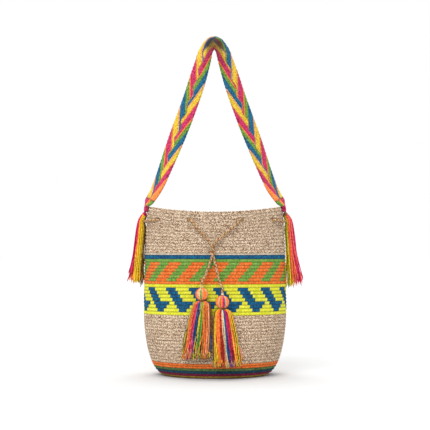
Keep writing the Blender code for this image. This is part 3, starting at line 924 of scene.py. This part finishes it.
# %% Fringes
FRINGE_STATIONS = (  # height, middle, half width and half depth of the hanging yarn
    (0.2830, 0.1240, 0.0048, 0.0100),
    (0.2785, 0.1248, 0.0066, 0.0108),
    (0.2750, 0.1256, 0.0072, 0.0112),
    (0.2715, 0.1276, 0.0068, 0.0114),
    (0.2660, 0.1292, 0.0068, 0.0118),
    (0.2625, 0.1290, 0.0080, 0.0120),
    (0.2560, 0.1292, 0.0092, 0.0124),
    (0.2330, 0.1314, 0.0100, 0.0138),
    (0.2100, 0.1338, 0.0112, 0.0150),
    (0.1880, 0.1368, 0.0134, 0.0155),
    (0.1700, 0.1391, 0.0152, 0.0158),
    (0.1550, 0.1404, 0.0160, 0.0160),
)
FRINGE_END = {"left": (0.1640, 0.0075), "right": (0.1585, 0.0055)}  # height, and how much higher the outside ends
FRINGE_DYES = {  # from the outside of the fringe to the bag
    "left": ("magenta", "magenta", "orange", "gold", "gold", "gold", "olive", "brown"),
    "right": ("magenta", "magenta", "coral", "orange", "coral", "gold", "leaf", "gold"),
}


FRINGE_YARNS, STRAYS, FRINGE_POINTS = 70, 9, 28
GOLDEN_TURN = 2.399963  # radians, spreads yarns evenly over a round section
PLIES = 2  # loose plies at each cut end


def make_fringe(side, sign):
    """The loose yarns below one knot, with their cut ends."""
    heights, middles, wides, deeps = (np.array(column)[::-1] for column in zip(*FRINGE_STATIONS))
    order = FRINGE_DYES[side]
    settled = FRINGE_YARNS - STRAYS
    t = np.linspace(0, 1, FRINGE_POINTS) ** 1.4
    paths, radii, dyes = [], [], []
    for number in range(FRINGE_YARNS):
        stray = number >= settled
        place = sqrt((number % settled + 0.5) / settled) * (1.0 if stray else 0.92)
        bearing = number * GOLDEN_TURN
        u, w = place * np.cos(bearing), place * np.sin(bearing)
        foot = FRINGE_END[side][0] + FRINGE_END[side][1] * u + chance.normal(0.002, 0.0045)
        top = 0.2795 + 0.0015 * np.cos(pi * u / 2)
        z = top + (foot - top) * t
        middle, wide, deep = (np.interp(z, heights, values) for values in (middles, wides, deeps))
        over_knot = 0.5 + 0.5 * np.sqrt(((top - z) / 0.008).clip(0, 1))
        wide, deep = wide * over_knot, deep * over_knot
        phase = chance.uniform(0, 6, 2)
        swing = chance.normal(0, 0.0019, 2) * (1.6 if stray else 1.0)
        sway = swing[:, None] * np.sin(chance.uniform(3, 7) * t[None] + phase[:, None]) * t
        flick = (t ** 3) * (abs(chance.normal(0, 0.006)) if stray and u > 0 else chance.normal(0, 0.0018))
        x = middle + wide * u + sway[0] + flick
        y = deep * w + sway[1]
        own = np.stack((sign * x, y, z), -1)
        paths.append(own)
        share = (1 - u) / 2 + chance.normal(0, 0.07)
        dye = order[int(np.clip(share * len(order), 0, len(order) - 1))]
        dyes.append(dye)
        radius = np.full(FRINGE_POINTS, chance.uniform(0.75, 1.05) * MM)
        radius[-2:] = 1.25 * MM, 0.35 * MM
        radii.append(radius)
        for _ in range(PLIES):
            tip = np.linspace(0, 1, FRINGE_POINTS)
            spray = np.stack((chance.normal(0, 0.0024) * tip, chance.normal(0, 0.0018) * tip, -0.006 * tip), -1)
            paths.append(own[-3] + spray)
            radii.append(np.linspace(0.4, 0.15, FRINGE_POINTS) * MM)
            mixed = chance.random() < 0.6
            dyes.append(str(chance.choice(("olive", "gold", "coral", "peach"))) if mixed else dye)
    yarn_piece(
        f"side_fringe_{side}", [(np.array(paths), np.array(radii), np.array((0.0, 1.0, 0.0)), dyes)],
        "bag", f"strap_fringe_{side}",
    )


for side, sign in SIDES.items():
    make_fringe(side, sign)

# %% [markdown]
# ## Tassels
# Each tassel is a hank of yarn folded over the cord's knot and tied at the neck. The fold makes
# a round head of yarns side by side, and the cut ends hang as a flared skirt. The colours sit in
# wedges, because the hank was laid up one colour after another.

# %% Tassel yarns
BINDING_RADIUS, BINDING_TURNS, BINDING_WIDTH = 0.0008, 3, 0.0034
HEAD_YARNS, HEAD_YARN, HEAD_ARC = 42, 1.02 * MM, (4, 158)  # the arc in degrees from the top of the ball
NECK_ARC, NECK_DROP = 152, 0.0042  # where the ball is tied, and how far below it the skirt starts to flare
SKIRT_YARNS, OUTER_YARNS, INNER_LAYER = 190, 116, 0.6
HEAD_DYES = {  # round the head, from the left over the front to the right
    "left": ("coral", "peach", "cream", "leaf", "peach", "orange", "orange", "peach"),
    "right": ("orange", "peach", "olive", "orange", "magenta", "sea", "peach", "orange"),
}
SKIRT_DYES = {  # across the skirt's front, left to right
    "left": (
        "olive", "orange", "coral", "magenta", "indigo", "blue", "indigo", "teal", "leaf", "green",
        "olive", "orange", "orange", "orange", "peach", "brown",
    ),
    "right": (
        "brown", "gold", "coral", "orange", "orange", "coral", "red", "cream", "blue", "indigo",
        "indigo", "magenta", "red", "orange", "gold", "olive",
    ),
}


def skirt_drop(spec, z):
    """How far the skirt stands forward of the hanging point to clear the bag."""
    x = spec["x"] + spec["shift"] / 2
    return min(front_depth(x, z) - SKIRT_GAP - SKIRT_DEPTH - hanging_y(spec), 0.0)


def tassel_head(side, middle):
    """Yarns side by side over the ball."""
    ball = TASSELS[side]["ball"]
    heads, dyes, refs = [], [], []
    polar = np.radians(np.linspace(*HEAD_ARC, 13))
    order = HEAD_DYES[side]
    for number in range(HEAD_YARNS):
        around = 2 * pi * number / HEAD_YARNS + chance.normal(0, 0.02)
        out = np.stack((np.sin(polar) * np.cos(around), np.sin(polar) * np.sin(around), np.cos(polar)), -1)
        heads.append(middle + out * (ball - HEAD_YARN * 0.75))
        across = (1 + np.cos(around)) / 2
        dyes.append(order[int(min(across * len(order), len(order) - 1))])
        refs.append((-sin(around), np.cos(around), 0.0))
    return np.array(heads), np.full((HEAD_YARNS, len(polar)), HEAD_YARN), np.array(refs)[:, None, :], dyes


def tassel_skirt(side, hang, neck, neck_z):
    """Yarns that spread below the neck and end unevenly, the outer ones with loose plies."""
    spec = TASSELS[side]
    foot = spec["foot"]
    t = np.linspace(0, 1, 20) ** 1.7
    tip = np.linspace(0, 1, len(t))
    order = SKIRT_DYES[side]
    paths, skirts, radii = [], [], []
    for number in range(SKIRT_YARNS):
        inner = number >= OUTER_YARNS
        layer = INNER_LAYER if inner else chance.uniform(0.80, 1.0)
        bearing = number * GOLDEN_TURN if inner else number * 2 * pi / OUTER_YARNS
        u, w = layer * np.cos(bearing), layer * np.sin(bearing)
        end = foot - 0.001 + abs(chance.normal(0, 0.0042))
        z = neck_z + (end - neck_z) * t
        full = np.clip((neck_z - NECK_DROP - z) / (neck_z - NECK_DROP - foot), 0, 1)
        below = ease((neck_z - z) / 0.0055)
        wide = spec["shoulder"] + (spec["end"] - spec["shoulder"]) * np.sqrt(full)
        wide = neck * 0.9 + (wide - neck * 0.9) * below
        deep = neck * 0.9 + (SKIRT_DEPTH - neck * 0.9) * below
        forward = np.array([skirt_drop(spec, value) for value in z]) * ease(full / 0.35)
        swing = chance.normal(0, 0.0018, 2)[:, None]
        sway = swing * np.sin(chance.uniform(3, 9) * t[None] + chance.uniform(0, 6, 2)[:, None]) * t
        x = hang[0] + spec["shift"] * full + (wide - 0.9 * MM) * u + sway[0]
        y = hang[1] + forward + (deep - 0.9 * MM) * w + np.minimum(sway[1], 0.0004)
        own = np.stack((x, y, z), -1)
        paths.append(own)
        share = (u / layer + 1) / 2
        share = (share if w < 0 else (share + 0.37) % 1.0) + chance.normal(0, 0.032)
        if inner:
            dye = str(chance.choice(("brown", "olive", "red", "teal")))
        else:
            dye = order[int(np.clip(share * len(order), 0, len(order) - 1))]
            if chance.random() < 0.10:
                dye = str(chance.choice(("gold", "brown", "olive", "brown")))
        skirts.append(dye)
        radius = np.full(len(t), chance.uniform(0.50, 0.82) * MM)
        radius[-1] = 0.4 * MM
        radii.append(radius)
        for _ in range(0 if inner else PLIES):
            sideways, forwards = chance.normal(0, 0.0026), abs(chance.normal(0, 0.0012))
            spray = np.stack((sideways * tip, -forwards * tip, -0.0090 * tip), -1)
            paths.append(own[-2] + np.array((0, -0.0006, 0.002)) + spray)
            radii.append(np.linspace(0.46, 0.18, len(t)) * MM)
            mixed = chance.random() < 0.55
            skirts.append(str(chance.choice(("gold", "gold", "cream", "peach", "orange", "leaf"))) if mixed else dye)
    return np.array(paths), np.array(radii), np.array((0.0, 1.0, 0.0)), skirts


# %% Tassels
def make_tassel(side):
    """One tassel's ball, skirt and cord's knot, and the thread round its neck."""
    spec = TASSELS[side]
    hang = np.array((spec["x"], hanging_y(spec), spec["z"]))
    body, node = f"{side}_tassel", f"tassel_{side}"
    middle = hang - np.array((0, 0, BALL_DROP + spec["ball"]))
    neck_z = middle[2] + spec["ball"] * np.cos(radians(NECK_ARC))
    neck = spec["ball"] * sin(radians(NECK_ARC))
    nub = np.linspace(0, 1, 7)
    stem = hang + np.stack((0 * nub, 0 * nub, NUB_RADIUS - nub * 2 * NUB_RADIUS), -1)
    knot = NUB_RADIUS * np.sqrt(1 - (2 * nub - 1) ** 2).clip(0.25)
    bundles = [
        tassel_head(side, middle),
        tassel_skirt(side, hang, neck, neck_z),
        (stem[None], knot[None], np.array((0.0, 1.0, 0.0)), ("cream",)),
    ]
    yarn_piece(f"yarn_tassel_{side}", bundles, body, node)

    s = np.linspace(0, 1, 28 * BINDING_TURNS)
    ring = np.stack((
        (neck + BINDING_RADIUS) * np.cos(2 * pi * BINDING_TURNS * s),
        (neck + BINDING_RADIUS) * np.sin(2 * pi * BINDING_TURNS * s),
        neck_z - hang[2] + 0.0004 - BINDING_WIDTH * s,
    ), -1)
    thread = (hang + ring)[None], np.full((1, len(s)), BINDING_RADIUS * 0.9), np.array((0.0, 0.0, 1.0)), ("brown",)
    yarn_piece(f"neck_binding_{side}", [thread], body, f"{node}_binding")


for side in SIDES:
    make_tassel(side)

# %% [markdown]
# ## Studio
# A pale floor and a bright, even room, with one broad light from the upper left of the camera and
# a weaker one from above and behind, as for a catalogue picture: soft modelling on the yarns and
# a faint shadow on the floor before the bag.

# %% Floor and lights
REACH = 40.0
FLOOR_COLOUR, ROOM_COLOUR = "#cfcfcf", "#ffffff"
LIGHTS = (  # name, strength, angle in degrees and direction
    ("front light", 1.5, 38, (0.30, 0.85, -0.80)),
    ("top light", 1.5, 50, (0.05, -0.35, -1.0)),
)
floor_mesh = bpy.data.meshes.new("floor")
corners = [(-REACH, -REACH, 0), (REACH, -REACH, 0), (REACH, REACH, 0), (-REACH, REACH, 0)]
floor_mesh.from_pydata(corners, [], [(0, 1, 2, 3)])
floor = bpy.data.objects.new("floor", floor_mesh)
bpy.context.scene.collection.objects.link(floor)
pale = bpy.data.materials.new("matt_white_paper")
pale.use_nodes = True
paper = pale.node_tree.nodes["Principled BSDF"]
paper.inputs["Base Color"].default_value = linear(FLOOR_COLOUR)
paper.inputs["Roughness"].default_value = 0.95
paper.inputs["Specular IOR Level"].default_value = 0.0
floor_mesh.materials.append(pale)

world = bpy.data.worlds.new("bright room")
world.use_nodes = True
room = world.node_tree.nodes["Background"]
room.inputs["Color"].default_value = linear(ROOM_COLOUR)
room.inputs["Strength"].default_value = 1.0
bpy.context.scene.world = world
bpy.context.scene.view_settings.view_transform = "Standard"

for name, energy, angle, direction in LIGHTS:
    lamp = bpy.data.lights.new(name, "SUN")
    lamp.energy = energy
    lamp.angle = radians(angle)
    light = bpy.data.objects.new(name, lamp)
    bpy.context.scene.collection.objects.link(light)
    light.rotation_euler = Vector(direction).to_track_quat("-Z", "Y").to_euler()
